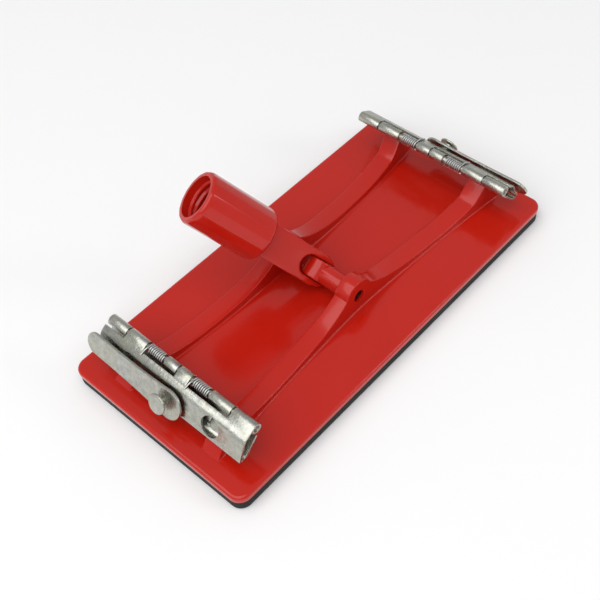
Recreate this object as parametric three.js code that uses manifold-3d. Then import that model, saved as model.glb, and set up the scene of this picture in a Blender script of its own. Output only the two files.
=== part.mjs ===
// Swivel-head sanding plate: a die-cast plate on a rubber pad, a universal joint with a pole socket,
// and a sprung paper clamp with a lever at each end. Millimetres, +Z up, X along the plate.
// The origin is the middle of the pad's sanding face.
import * as THREE from "three";
import { mergeVertices } from "three/addons/utils/BufferGeometryUtils.js";
import Module from "manifold-3d";

const wasm = await Module();
wasm.setup();

// ---------------------------------------------------------------- driving dimensions

const PLATE = { length: 212, width: 105, thickness: 4, cornerRadius: 6, edgeRadius: 1.5 };
const PAD = { thickness: 5.5, inset: 0.4 };

// The two ribs bow outwards from the axle ears to the clamp seats, and widen on the way.
const RIB = { offset: 21.2, bow: 4.5, width: 9.4, widening: 25, draft: 0.8, height: 2.3 };
const EAR = {
  radius: 8.5, width: 7.4, axleHeight: 8.5, roundShare: 0.93, flareHeight: 9, flareLength: 12.5,
};
const SEAT = { kink: 80.5, kinkHeight: 5.4, riseLength: 26, innerSlope: 1.22 };

const AXLE_PIN = { radius: 2.5, innerEnd: 4, headRadius: 3, headLength: 1.8, headRecess: 0.5 };
const BLOCK = { trunnionRadius: 4.9, plateGap: 0.25, endGap: 0.4, hubGap: 0.3 };
const FORK_PIN = { radius: 2 };
const SOCKET = {
  width: 16, thickness: 9, armWidth: 3, slotTop: 12, neckLength: 34, barrelRadius: 12.5,
  barrelLength: 36.4, rimRadius: 2.2, mouthRadius: 9.9, mouthDepth: 3.6, threadRadius: 8.7,
  boreDepth: 29, plateGap: 0.35, flare: 0.5,
};
const REST = { swivel: 32.6, tilt: 30 }; // degrees the socket leans towards -X and towards +Y

const CLAMP = {
  length: 87.2, sheet: 1, pinFromCentre: 83.8, pinHeight: 19.6, pinRadius: 1.5,
  knuckleGap: 0.8, notchDepth: 3.2, roofAngle: 30, jawAngle: 67, bendRadius: 6, jawReach: 6.3,
  jawDrop: 11.2, baseAngle: 47.6, baseStraight: 12.8, lipRadius: 3, lipEndAngle: 25, seatGap: 0.1,
};
// Knuckle stretches along the hinge, as the places where one ends and the next begins.
const HINGE = { f1: -31.8, u1: -19.6, s1: -8.5, f2: -0.6, u2: 7.4, s2: 18.3, f3: 31.1 };
const SPRING = { wire: 1, sideGap: 0.4, legStart: 2, legEnd: 5, legInset: 1 };
const ACCESS = { radius: 5, fromTip: 5.9 };
const SEAT_RIVET = {
  offset: 25.2, along: 9.5, headRadius: 3, headHeight: 1.2, shankRadius: 1.6, shankLength: 3.6,
};
const LEVER = {
  reach: 48.6, wideRadius: 7.3, wideShift: 3.2, wideRise: 0.6, narrowRadius: 5.3, narrowRise: 2.2,
  thickness: 1.2, standOff: 1.2, hubRadius: 3.6, gap: 0.15, fromTip: 3,
};
const LEVER_RIVET = { headRadius: 4.75, headHeight: 1.2, headStandOff: 5, shankRadius: 1.75, tail: 0.5 };
// Radial play: a pin that turns, a pin pressed home, and a rivet in its hole.
const PLAY = { running: 0.08, pressed: 0.04, rivet: 0.1 };

// Sides of round bodies, and steps of round stretches in an outline.
const SIDES = { rivet: 16, pin: 20, knuckle: 24, rivetHead: 28, axle: 32, barrel: 40, envelope: 48 };
const STEPS = {
  corner: 6, edge: 3, forkSphere: 10, slotEnd: 12, rim: 4, jawBend: 5, lip: 7, springLeg: 6, wire: 4,
  leverWide: 28, leverNarrow: 20, leverSide: 10,
};
// Stations of a rib: shares of the ear's quarter turn, flare lengths past the ear, shares of the rise.
const EAR_SHARES = [0, 0.2, 0.4, 0.6, 0.8, 1];
const FLARE_SHARES = [0.12, 0.3, 0.55, 0.9, 1.4, 2.1, 2.9, 3.8];
const RISE_SHARES = [0.25, 0.5, 0.75, 1];

const OVERRUN = 1; // how far a cutting solid runs past the faces it cuts
const THROUGH = 3; // how far a hole's cutting bar reaches to either side of a sheet
const EMBED = 0.5; // how far a solid reaches into the one it is joined to
const WELD = 1e-4; // corners closer than this are one

// ---------------------------------------------------------------- worked-out places

const plateBottom = PAD.thickness;
const plateTop = plateBottom + PLATE.thickness;
const axleZ = plateTop + EAR.axleHeight;
const hingeZ = plateTop + CLAMP.pinHeight;
const knuckleInner = CLAMP.pinRadius + PLAY.running;
const knuckleOuter = knuckleInner + CLAMP.sheet;
const springRadius = CLAMP.pinRadius + SPRING.wire;
const halfClamp = CLAMP.length / 2;
const radians = THREE.MathUtils.degToRad;

// ---------------------------------------------------------------- solid helpers

function solidOf(geometry) {
  const bare = geometry.clone();
  bare.deleteAttribute("normal");
  bare.deleteAttribute("uv");
  const merged = mergeVertices(bare, WELD);
  const mesh = new wasm.Mesh({
    numProp: 3,
    vertProperties: merged.attributes.position.array,
    triVerts: new Uint32Array(merged.index.array),
  });
  return new wasm.Manifold(mesh);
}

function geometryOf(solid) {
  const mesh = solid.getMesh();
  const geometry = new THREE.BufferGeometry();
  geometry.setAttribute("position", new THREE.BufferAttribute(mesh.vertProperties, 3));
  geometry.setIndex(new THREE.BufferAttribute(mesh.triVerts, 1));
  return geometry;
}

function union(solids) {
  return solids.reduce((whole, solid) => whole.add(solid));
}

function cut(solid, tools) {
  return tools.reduce((rest, tool) => rest.subtract(tool), solid);
}

// A box between two opposite corners.
function block(low, high) {
  const size = high.map((value, i) => value - low[i]);
  const middle = high.map((value, i) => (value + low[i]) / 2);
  return solidOf(new THREE.BoxGeometry(...size).translate(...middle));
}

// A round bar from one point to another.
function bar(radius, from, to, sides = SIDES.axle) {
  const start = new THREE.Vector3(...from);
  const along = new THREE.Vector3(...to).sub(start);
  const geometry = new THREE.CylinderGeometry(radius, radius, along.length(), sides);
  const turn = new THREE.Quaternion().setFromUnitVectors(
    new THREE.Vector3(0, 1, 0),
    along.clone().normalize(),
  );
  geometry.applyQuaternion(turn);
  geometry.translate(...start.addScaledVector(along, 0.5));
  return solidOf(geometry);
}

// An outline in the X-Z plane, given as [x, z] points, run along Y.
function runAlongY(points, low, high) {
  const shape = new THREE.Shape(points.map(([x, z]) => new THREE.Vector2(x, z)));
  const geometry = new THREE.ExtrudeGeometry(shape, { depth: high - low, bevelEnabled: false });
  return solidOf(geometry.rotateX(Math.PI / 2).translate(0, high, 0));
}

// A turned body about the Z axis, from a profile of [radius, z] points.
function turned(profile, sides) {
  const points = profile.map(([r, z]) => new THREE.Vector2(r, z));
  return solidOf(new THREE.LatheGeometry(points, sides).rotateX(Math.PI / 2));
}

function roundedRectangle(length, width, radius) {
  const [x, y] = [length / 2, width / 2];
  const shape = new THREE.Shape();
  shape.moveTo(-x + radius, -y);
  shape.lineTo(x - radius, -y);
  shape.absarc(x - radius, -y + radius, radius, -Math.PI / 2, 0);
  shape.lineTo(x, y - radius);
  shape.absarc(x - radius, y - radius, radius, 0, Math.PI / 2);
  shape.lineTo(-x + radius, y);
  shape.absarc(-x + radius, y - radius, radius, Math.PI / 2, Math.PI);
  shape.lineTo(-x, -y + radius);
  shape.absarc(-x + radius, -y + radius, radius, Math.PI, 1.5 * Math.PI);
  return shape;
}

// Points on an arc about a centre, between two angles in radians, both ends included.
function arc([x, z], radius, from, to, steps) {
  return Array.from({ length: steps + 1 }, (_, i) => {
    const angle = from + ((to - from) * i) / steps;
    return [x + radius * Math.cos(angle), z + radius * Math.sin(angle)];
  });
}

function mesh(name, solid, material) {
  const made = new THREE.Mesh(geometryOf(solid), material);
  made.name = name;
  return made;
}

// ---------------------------------------------------------------- finishes

const redPaint = new THREE.MeshStandardMaterial({ color: 0xb81f1c, roughness: 0.3, metalness: 0 });
const blackRubber = new THREE.MeshStandardMaterial({ color: 0x151515, roughness: 0.9, metalness: 0 });
const blackSteel = new THREE.MeshStandardMaterial({ color: 0x1c1c1e, roughness: 0.5, metalness: 0.8 });
const zincPlate = new THREE.MeshStandardMaterial({ color: 0xb4b6ac, roughness: 0.35, metalness: 0.9 });
const brightWire = new THREE.MeshStandardMaterial({ color: 0xc8c9c8, roughness: 0.25, metalness: 1 });

// ---------------------------------------------------------------- plate and pad

function backingPad() {
  const shape = roundedRectangle(
    PLATE.length - 2 * PAD.inset,
    PLATE.width - 2 * PAD.inset,
    PLATE.cornerRadius - PAD.inset,
  );
  const settings = { depth: PAD.thickness, bevelEnabled: false, curveSegments: STEPS.corner };
  return solidOf(new THREE.ExtrudeGeometry(shape, settings));
}

// The flat plate, its top edge rounded: the outline is extruded with a rounded bevel at both ends,
// and the lower bevel is cut away.
function flatPlate() {
  const shape = roundedRectangle(PLATE.length, PLATE.width, PLATE.cornerRadius);
  const geometry = new THREE.ExtrudeGeometry(shape, {
    depth: PLATE.thickness,
    bevelThickness: PLATE.edgeRadius,
    bevelSize: PLATE.edgeRadius,
    bevelOffset: -PLATE.edgeRadius,
    bevelSegments: STEPS.edge,
    curveSegments: STEPS.corner,
  });
  geometry.translate(0, 0, plateBottom - PLATE.edgeRadius);
  const [x, y] = [PLATE.length, PLATE.width];
  return solidOf(geometry).subtract(block([-x, -y, plateBottom - 3 * OVERRUN], [x, y, plateBottom]));
}

// Height of the seat's outer slope above the plate: it lies just under the clamp's lower leaf.
function seatSlope(x) {
  const slope = radians(CLAMP.baseAngle);
  const out = x - CLAMP.pinFromCentre;
  const drop = (knuckleOuter + CLAMP.seatGap + out * Math.sin(slope)) / Math.cos(slope);
  return CLAMP.pinHeight - drop;
}

function seatInside(x) {
  return SEAT.kinkHeight + SEAT.innerSlope * (x - SEAT.kink);
}

// Stations along half a rib, as [x, height over the plate]: round over the axle, falling away in a
// hollow curve, low along the middle, rising with the square of the way to the seat's kink, then up to
// the seat's crest and down its outer slope.
function ribStations() {
  const lastOfEar = EAR.radius * EAR.roundShare;
  const ear = EAR_SHARES.map((share) => {
    const x = lastOfEar * Math.sin((share * Math.PI) / 2);
    return [x, EAR.axleHeight + Math.sqrt(EAR.radius ** 2 - x ** 2)];
  });
  const flare = FLARE_SHARES.map((share) => {
    const height = RIB.height + EAR.flareHeight * Math.exp(-share);
    return [lastOfEar + share * EAR.flareLength, height];
  });
  const rise = RISE_SHARES.map((share) => {
    const height = RIB.height + (SEAT.kinkHeight - RIB.height) * share ** 2;
    return [SEAT.kink - (1 - share) * SEAT.riseLength, height];
  });
  const crest = crestPlace();
  const foot = footPlace();
  return [
    ...ear,
    ...flare,
    ...rise,
    [crest, seatSlope(crest)],
    [foot, seatSlope(foot)],
  ];
}

// Where the seat's inner and outer slopes meet.
function crestPlace() {
  const fall = Math.tan(radians(CLAMP.baseAngle));
  const difference = seatSlope(SEAT.kink) - seatInside(SEAT.kink);
  return SEAT.kink + difference / (SEAT.innerSlope + fall);
}

// Where the seat's outer slope reaches the plate.
function footPlace() {
  return SEAT.kink + seatSlope(SEAT.kink) / Math.tan(radians(CLAMP.baseAngle));
}

function ribOffset(x) {
  return RIB.offset + RIB.bow * (x / CLAMP.pinFromCentre) ** 2;
}

function ribWidth(x) {
  return RIB.width + (EAR.width - RIB.width) * Math.exp(-((x / RIB.widening) ** 2));
}

// One rib: a long box whose cross-sections are moved to the stations, widths and bow above.
function rib(side) {
  const half = ribStations();
  const mirrored = half.slice(1).reverse().map(([x, height]) => [-x, height]);
  const stations = [...mirrored, ...half];
  const geometry = new THREE.BoxGeometry(1, 1, 1, stations.length - 1, 1, 1);
  const position = geometry.attributes.position;
  for (let i = 0; i < position.count; i += 1) {
    const [x, height] = stations[Math.round((position.getX(i) + 0.5) * (stations.length - 1))];
    const isTop = position.getZ(i) > 0;
    const width = ribWidth(x) + (isTop ? 0 : RIB.draft);
    const y = side * ribOffset(x) + position.getY(i) * width;
    position.setXYZ(i, x, y, isTop ? plateTop + height : plateTop - OVERRUN);
  }
  return solidOf(geometry);
}

// Blind rivet holes, square to the seats' outer slopes.
function seatHole(end, side) {
  const slope = radians(CLAMP.baseAngle);
  const [sin, cos] = [Math.sin(slope), Math.cos(slope)];
  const along = SEAT_RIVET.along;
  const x = CLAMP.pinFromCentre - knuckleOuter * sin + along * cos;
  const z = hingeZ - knuckleOuter * cos - along * sin;
  const y = side * SEAT_RIVET.offset;
  const place = (depth) => [end * (x - depth * sin), y, z - depth * cos];
  const radius = SEAT_RIVET.shankRadius + PLAY.rivet;
  return bar(radius, place(-OVERRUN), place(SEAT_RIVET.shankLength), SIDES.rivet);
}

function basePlate() {
  const sides = [-1, 1];
  const body = union([flatPlate(), ...sides.map(rib)]);
  const bore = bar(AXLE_PIN.radius + PLAY.running, [0, -PLATE.width, axleZ], [0, PLATE.width, axleZ]);
  const sinks = sides.map((side) => {
    const radius = AXLE_PIN.headRadius + PLAY.rivet;
    return bar(radius, [0, side * (pinHeadInside - PLAY.rivet), axleZ], [0, side * PLATE.width, axleZ]);
  });
  const holes = sides.flatMap((end) => sides.map((side) => seatHole(end, side)));
  return cut(body, [bore, ...sinks, ...holes]);
}

// ---------------------------------------------------------------- universal joint

const earInside = RIB.offset - (EAR.width + RIB.draft) / 2;
const pinHeadOutside = RIB.offset + EAR.width / 2 - AXLE_PIN.headRecess;
const pinHeadInside = pinHeadOutside - AXLE_PIN.headLength;

function axlePin(side) {
  const place = (y) => [0, side * y, axleZ];
  return union([
    bar(AXLE_PIN.radius, place(AXLE_PIN.innerEnd), place(pinHeadInside + OVERRUN)),
    bar(AXLE_PIN.headRadius, place(pinHeadInside), place(pinHeadOutside)),
  ]);
}

// The block's own frame has its origin where the two joint axes cross. The hub's rim clears the plate
// at every angle.
function swivelBlock() {
  const reach = earInside - BLOCK.endGap;
  const halfHub = SOCKET.width / 2 - SOCKET.armWidth - BLOCK.hubGap;
  const trunnion = bar(BLOCK.trunnionRadius, [0, -reach, 0], [0, reach, 0]);
  const hubRadius = Math.sqrt((EAR.axleHeight - BLOCK.plateGap) ** 2 - halfHub ** 2);
  const hub = bar(hubRadius, [-halfHub, 0, 0], [halfHub, 0, 0]);
  const axleBore = bar(
    AXLE_PIN.radius + PLAY.pressed,
    [0, -reach - OVERRUN, 0],
    [0, reach + OVERRUN, 0],
  );
  const pinBore = bar(
    FORK_PIN.radius + PLAY.running,
    [-halfHub - OVERRUN, 0, 0],
    [halfHub + OVERRUN, 0, 0],
  );
  return cut(union([trunnion, hub]), [axleBore, pinBore]);
}

function forkPin() {
  const half = SOCKET.width / 2;
  return bar(FORK_PIN.radius, [-half, 0, 0], [half, 0, 0]);
}

// The fork and neck: a flat bar whose lower end lies inside a sphere about the pin, so that the arms
// clear the plate at every angle. Above the pin the sphere opens into a cone.
function neck() {
  const half = SOCKET.thickness / 2;
  const width = SOCKET.width / 2;
  const top = SOCKET.neckLength + OVERRUN;
  const radius = EAR.axleHeight - SOCKET.plateGap;
  const sphere = arc([0, 0], radius, -Math.PI / 2, 0, STEPS.forkSphere);
  const envelope = turned([...sphere, [radius + SOCKET.flare * top, top], [0, top]], SIDES.envelope);
  return block([-width, -half, -radius], [width, half, top - OVERRUN / 2]).intersect(envelope);
}

// The slot between the fork's arms, closed by a round end.
function forkSlot() {
  const half = SOCKET.width / 2 - SOCKET.armWidth;
  const low = -SOCKET.thickness;
  const end = arc([0, SOCKET.slotTop - half], half, 0, Math.PI, STEPS.slotEnd);
  const outline = [[-half, low], [half, low], ...end];
  return runAlongY(outline, -SOCKET.thickness, SOCKET.thickness);
}

function socketBarrel() {
  const { neckLength, barrelLength, barrelRadius, rimRadius } = SOCKET;
  const top = neckLength + barrelLength;
  const side = barrelRadius - rimRadius;
  const rim = arc([side, top - rimRadius], rimRadius, 0, Math.PI / 2, STEPS.rim);
  const foot = arc([side, neckLength + rimRadius], rimRadius, -Math.PI / 2, 0, STEPS.rim);
  return turned([[0, neckLength], ...foot, ...rim, [0, top]], SIDES.barrel);
}

function handleSocket() {
  const top = SOCKET.neckLength + SOCKET.barrelLength;
  const holeRadius = FORK_PIN.radius + PLAY.pressed;
  const over = SOCKET.width;
  return cut(union([socketBarrel(), neck()]), [
    forkSlot(),
    bar(holeRadius, [-over, 0, 0], [over, 0, 0]),
    bar(SOCKET.mouthRadius, [0, 0, top - SOCKET.mouthDepth], [0, 0, top + OVERRUN], SIDES.barrel),
    bar(SOCKET.threadRadius, [0, 0, top - SOCKET.boreDepth], [0, 0, top], SIDES.barrel),
  ]);
}

// ---------------------------------------------------------------- clamp profiles
// A clamp's own frame has its origin on the hinge pin's axis, with +X pointing out over the plate's end.

// Place at a distance from the hinge axis along a surface's normal, then on along the surface.
function onFace(normal, distance, along) {
  const [sin, cos] = [Math.sin(normal), Math.cos(normal)];
  return [distance * cos + along * sin, distance * sin - along * cos];
}

const roofNormal = radians(90 - CLAMP.roofAngle);
const jawNormal = radians(90 - CLAMP.jawAngle);
const baseNormal = radians(-90 - CLAMP.baseAngle);

// Where two straight faces meet, each given by its normal and its distance from the hinge axis.
function corner(normalA, distanceA, normalB, distanceB) {
  const scale = 1 / Math.sin(normalB - normalA);
  return [
    scale * (distanceA * Math.sin(normalB) - distanceB * Math.sin(normalA)),
    scale * (distanceB * Math.cos(normalA) - distanceA * Math.cos(normalB)),
  ];
}

// Distance along the jaw's steep face from its nearest point to the hinge, down to the tip.
const jawTipAlong = (CLAMP.jawDrop + CLAMP.jawReach * Math.sin(jawNormal)) / Math.cos(jawNormal);

// One surface of the jaw's sheet, from the top knuckle over the bend to the tip.
function jawFace(depth) {
  const centre = corner(
    roofNormal,
    knuckleOuter - CLAMP.bendRadius,
    jawNormal,
    CLAMP.jawReach - CLAMP.bendRadius,
  );
  return [
    onFace(roofNormal, knuckleOuter - depth, 0),
    ...arc(centre, CLAMP.bendRadius - depth, roofNormal, jawNormal, STEPS.jawBend),
    onFace(jawNormal, CLAMP.jawReach - depth, jawTipAlong),
  ];
}

// One surface of the lower leaf's sheet, from the knuckle down along the seats and round the lip.
function baseFace(depth) {
  const start = onFace(baseNormal, knuckleOuter - depth, 0);
  const [x, z] = onFace(baseNormal, knuckleOuter - CLAMP.lipRadius, -CLAMP.baseStraight);
  const lipEnd = radians(-90 + CLAMP.lipEndAngle);
  return [start, ...arc([x, z], CLAMP.lipRadius - depth, baseNormal, lipEnd, STEPS.lip)];
}

function sheet(face) {
  const outline = [...face(0), ...face(CLAMP.sheet).reverse()];
  return runAlongY(outline, -halfClamp, halfClamp);
}

function knuckle(low, high) {
  const gap = CLAMP.knuckleGap / 2;
  return bar(knuckleOuter, [0, low + gap, 0], [0, high - gap, 0], SIDES.knuckle);
}

const knuckleBore = () =>
  bar(knuckleInner, [0, -halfClamp - OVERRUN, 0], [0, halfClamp + OVERRUN, 0], SIDES.knuckle);

// Cuts a leaf back from the hinge over a stretch, so that it clears the other leaf and the springs.
function notch(normal, low, high) {
  const gap = CLAMP.knuckleGap / 2;
  const along = normal === baseNormal ? -1 : 1;
  const wide = 2 * knuckleOuter;
  const outline = [
    onFace(normal, -wide, -along * wide),
    onFace(normal, -wide, along * CLAMP.notchDepth),
    onFace(normal, wide, along * CLAMP.notchDepth),
    onFace(normal, wide, -along * wide),
  ];
  if (along > 0) outline.reverse();
  return runAlongY(outline, low - gap, high + gap);
}

function accessHole(side) {
  const y = side * SEAT_RIVET.offset;
  const place = (distance) => {
    const [x, z] = onFace(jawNormal, distance, jawTipAlong - ACCESS.fromTip);
    return [x, y, z];
  };
  const [inside, outside] = [CLAMP.jawReach - THROUGH, CLAMP.jawReach + THROUGH];
  return bar(ACCESS.radius, place(inside), place(outside), SIDES.knuckle);
}

// Point on the lever rivet's axis, at a height over the jaw's steep face.
function onLeverAxis(height) {
  const [x, z] = onFace(jawNormal, CLAMP.jawReach + height, jawTipAlong - LEVER.fromTip);
  return [x, 0, z];
}

// ---------------------------------------------------------------- clamp pieces

function clampJaw() {
  const { f1, u1, f2, u2, f3 } = HINGE;
  const rivetHole = LEVER_RIVET.shankRadius + PLAY.rivet;
  const leaf = cut(sheet(jawFace), [
    notch(roofNormal, -halfClamp - OVERRUN, f1),
    notch(roofNormal, u1, f2),
    notch(roofNormal, u2, f3),
    accessHole(-1),
    accessHole(1),
    bar(rivetHole, onLeverAxis(-THROUGH), onLeverAxis(THROUGH), SIDES.pin),
  ]);
  const knuckles = [knuckle(f1, u1), knuckle(f2, u2), knuckle(f3, halfClamp + CLAMP.knuckleGap / 2)];
  return cut(union([leaf, ...knuckles]), [knuckleBore()]);
}

function clampBase() {
  const { f1, u1, s1, f2, u2, s2, f3 } = HINGE;
  const holes = [-1, 1].map((side) => {
    const y = side * SEAT_RIVET.offset;
    const place = (distance) => {
      const [x, z] = onFace(baseNormal, distance, -SEAT_RIVET.along);
      return [x, y, z];
    };
    const radius = SEAT_RIVET.shankRadius + PLAY.rivet;
    return bar(radius, place(knuckleOuter - THROUGH), place(knuckleOuter + THROUGH), SIDES.rivet);
  });
  const leaf = cut(sheet(baseFace), [
    notch(baseNormal, f1, s1),
    notch(baseNormal, f2, s2),
    notch(baseNormal, f3, halfClamp + OVERRUN),
    ...holes,
  ]);
  const knuckles = [
    knuckle(-halfClamp - CLAMP.knuckleGap / 2, f1),
    knuckle(s1, f2),
    knuckle(s2, f3),
  ];
  return cut(union([leaf, ...knuckles]), [knuckleBore()]);
}

function hingePin() {
  const half = halfClamp - CLAMP.sheet;
  return bar(CLAMP.pinRadius, [0, -half, 0], [0, half, 0], SIDES.pin);
}

// A torsion spring as a sleeve over the pin, with the leg that lies on the jaw and presses it shut.
function jawSpring(low, high) {
  const from = low + SPRING.sideGap;
  const to = high - SPRING.sideGap;
  const outside = bar(springRadius, [0, from, 0], [0, to, 0], SIDES.pin);
  const inside = bar(knuckleInner, [0, from - OVERRUN, 0], [0, to + OVERRUN, 0], SIDES.pin);
  return union([cut(outside, [inside]), springLeg(from + SPRING.legInset)]);
}

function springLeg(y) {
  const wireRadius = SPRING.wire / 2;
  const over = knuckleOuter + wireRadius + PLAY.rivet;
  const [kneeX, kneeZ] = onFace(roofNormal, over, SPRING.legStart);
  const [endX, endZ] = onFace(roofNormal, over, SPRING.legEnd);
  const path = new THREE.CurvePath();
  const start = new THREE.Vector3(-wireRadius, y, springRadius - wireRadius + PLAY.running);
  const knee = new THREE.Vector3(kneeX, y, kneeZ);
  path.add(new THREE.LineCurve3(start, knee));
  path.add(new THREE.LineCurve3(knee, new THREE.Vector3(endX, y, endZ)));
  const section = new THREE.Shape().absarc(0, 0, wireRadius, 0, 2 * Math.PI);
  const settings = { steps: STEPS.springLeg, curveSegments: STEPS.wire, bevelEnabled: false };
  return solidOf(new THREE.ExtrudeGeometry(section, { ...settings, extrudePath: path }));
}

// The lever's flat outline in its own plane: a wide round end about the rivet and a narrow one that sits
// a little higher. Its sides widen with the cube of the way along, and meet the wide end's circle.
function leverOutline() {
  const wide = new THREE.Vector2(LEVER.wideShift, LEVER.wideRise);
  const narrow = new THREE.Vector2(LEVER.narrowRadius - LEVER.reach, LEVER.narrowRise);
  const apart = wide.distanceTo(narrow);
  const lean = Math.atan((3 * (LEVER.wideRadius - LEVER.narrowRadius)) / apart);
  const reach = apart - LEVER.wideRadius * Math.sin(lean);
  const growth = LEVER.wideRadius * Math.cos(lean) - LEVER.narrowRadius;
  const steps = STEPS.leverSide;
  const upper = Array.from({ length: steps - 1 }, (_, i) => {
    const share = 1 - (i + 1) / steps;
    return [share * reach, LEVER.narrowRadius + growth * share ** 3];
  });
  const lower = upper.map(([x, y]) => [x, -y]).reverse();
  const points = [
    ...arc([apart, 0], LEVER.wideRadius, -Math.PI / 2 - lean, Math.PI / 2 + lean, STEPS.leverWide),
    ...upper,
    ...arc([0, 0], LEVER.narrowRadius, Math.PI / 2, 1.5 * Math.PI, STEPS.leverNarrow),
    ...lower,
  ];
  const turn = Math.atan2(wide.y - narrow.y, wide.x - narrow.x);
  const origin = new THREE.Vector2();
  const place = ([x, y]) => new THREE.Vector2(x, y).rotateAround(origin, turn).add(narrow);
  return new THREE.Shape(points.map(place));
}

// Turns the lever's flat frame, X along the lever and Z out of it, on to the jaw's steep face.
function ontoJaw(geometry) {
  const along = new THREE.Vector3(0, 1, 0);
  const out = new THREE.Vector3(Math.cos(jawNormal), 0, Math.sin(jawNormal));
  const across = out.clone().cross(along);
  const frame = new THREE.Matrix4().makeBasis(along, across, out);
  frame.setPosition(...onLeverAxis(0));
  return geometry.applyMatrix4(frame);
}

function clampLever() {
  const settings = { depth: LEVER.thickness, bevelEnabled: false };
  const flat = new THREE.ExtrudeGeometry(leverOutline(), settings);
  const plate = solidOf(ontoJaw(flat.translate(0, 0, LEVER.standOff)));
  const hubTop = onLeverAxis(LEVER.standOff + EMBED);
  const hub = bar(LEVER.hubRadius, onLeverAxis(LEVER.gap), hubTop, SIDES.knuckle);
  const over = onLeverAxis(LEVER.standOff + LEVER.thickness + OVERRUN);
  const hole = bar(LEVER_RIVET.shankRadius + PLAY.rivet, onLeverAxis(-OVERRUN), over, SIDES.pin);
  return cut(union([plate, hub]), [hole]);
}

function leverRivet() {
  const { headRadius, headHeight, headStandOff, shankRadius, tail } = LEVER_RIVET;
  const head = [onLeverAxis(headStandOff), onLeverAxis(headStandOff + headHeight)];
  return union([
    bar(shankRadius, onLeverAxis(-CLAMP.sheet - tail), onLeverAxis(headStandOff + EMBED), SIDES.pin),
    bar(headRadius, ...head, SIDES.rivetHead),
  ]);
}

function seatRivet(side) {
  const y = side * SEAT_RIVET.offset;
  const inner = knuckleOuter - CLAMP.sheet - PLAY.rivet;
  const place = (depth) => {
    const [x, z] = onFace(baseNormal, inner + depth, -SEAT_RIVET.along);
    return [x, y, z];
  };
  return union([
    bar(SEAT_RIVET.shankRadius, place(-EMBED), place(SEAT_RIVET.shankLength), SIDES.rivet),
    bar(SEAT_RIVET.headRadius, place(-SEAT_RIVET.headHeight), place(0), SIDES.pin),
  ]);
}

// ---------------------------------------------------------------- assembly

function clamp(letter) {
  const { u1, s1, u2, s2 } = HINGE;
  const group = new THREE.Group();
  group.add(
    mesh(`clamp_base_${letter}`, clampBase(), zincPlate),
    mesh(`clamp_jaw_${letter}`, clampJaw(), zincPlate),
    mesh(`hinge_pin_${letter}`, hingePin(), zincPlate),
    mesh(`jaw_spring_${letter}1`, jawSpring(u1, s1), brightWire),
    mesh(`jaw_spring_${letter}2`, jawSpring(u2, s2), brightWire),
    mesh(`clamp_lever_${letter}`, clampLever(), zincPlate),
    mesh(`lever_rivet_${letter}`, leverRivet(), zincPlate),
    mesh(`seat_rivet_${letter}1`, seatRivet(-1), zincPlate),
    mesh(`seat_rivet_${letter}2`, seatRivet(1), zincPlate),
  );
  return group;
}

const sander = new THREE.Group();
sander.add(
  mesh("base_plate", basePlate(), redPaint),
  mesh("backing_pad", backingPad(), blackRubber),
  mesh("axle_pin_front", axlePin(-1), blackSteel),
  mesh("axle_pin_back", axlePin(1), blackSteel),
);

const clampA = clamp("a");
clampA.position.set(-CLAMP.pinFromCentre, 0, hingeZ);
clampA.rotation.z = Math.PI;
const clampB = clamp("b");
clampB.position.set(CLAMP.pinFromCentre, 0, hingeZ);
sander.add(clampA, clampB);

const swivel = new THREE.Group();
swivel.position.z = axleZ;
swivel.rotation.y = -radians(REST.swivel);
swivel.add(mesh("swivel_block", swivelBlock(), redPaint));

const fork = new THREE.Group();
fork.rotation.x = -radians(REST.tilt);
fork.add(
  mesh("fork_pin", forkPin(), blackSteel),
  mesh("handle_socket", handleSocket(), redPaint),
);
swivel.add(fork);
sander.add(swivel);

export default sander;
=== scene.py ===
"""Swivel-head sanding plate: cast red plate on a rubber pad, pole socket on a universal joint, and a
sprung zinc-plated paper clamp with a lever at each end. Shapes are worked out in millimetres."""

import math

import bmesh
import bpy
import numpy as np
from mathutils import Matrix, Vector

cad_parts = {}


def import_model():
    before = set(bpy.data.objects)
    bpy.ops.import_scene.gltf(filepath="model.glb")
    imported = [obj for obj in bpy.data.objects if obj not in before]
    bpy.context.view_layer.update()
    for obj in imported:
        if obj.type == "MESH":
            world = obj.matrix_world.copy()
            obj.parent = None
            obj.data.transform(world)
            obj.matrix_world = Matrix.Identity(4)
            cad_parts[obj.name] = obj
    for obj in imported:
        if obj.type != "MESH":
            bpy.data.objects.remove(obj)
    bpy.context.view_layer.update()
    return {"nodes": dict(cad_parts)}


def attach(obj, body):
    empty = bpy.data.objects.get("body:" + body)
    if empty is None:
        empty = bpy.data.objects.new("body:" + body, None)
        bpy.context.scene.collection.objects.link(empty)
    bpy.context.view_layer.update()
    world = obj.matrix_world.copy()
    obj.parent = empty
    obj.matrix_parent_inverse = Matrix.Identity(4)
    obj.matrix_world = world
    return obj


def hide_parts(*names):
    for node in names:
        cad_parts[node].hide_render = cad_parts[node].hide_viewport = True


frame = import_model()
MM = 0.001

# ------------------------------------------------------------------ sizes in millimetres

PLATE_LENGTH, PLATE_WIDTH, PLATE_CORNER, PLATE_EDGE = 212, 105, 6, 1.5
PAD_TOP, PLATE_TOP = 5.5, 9.5

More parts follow.
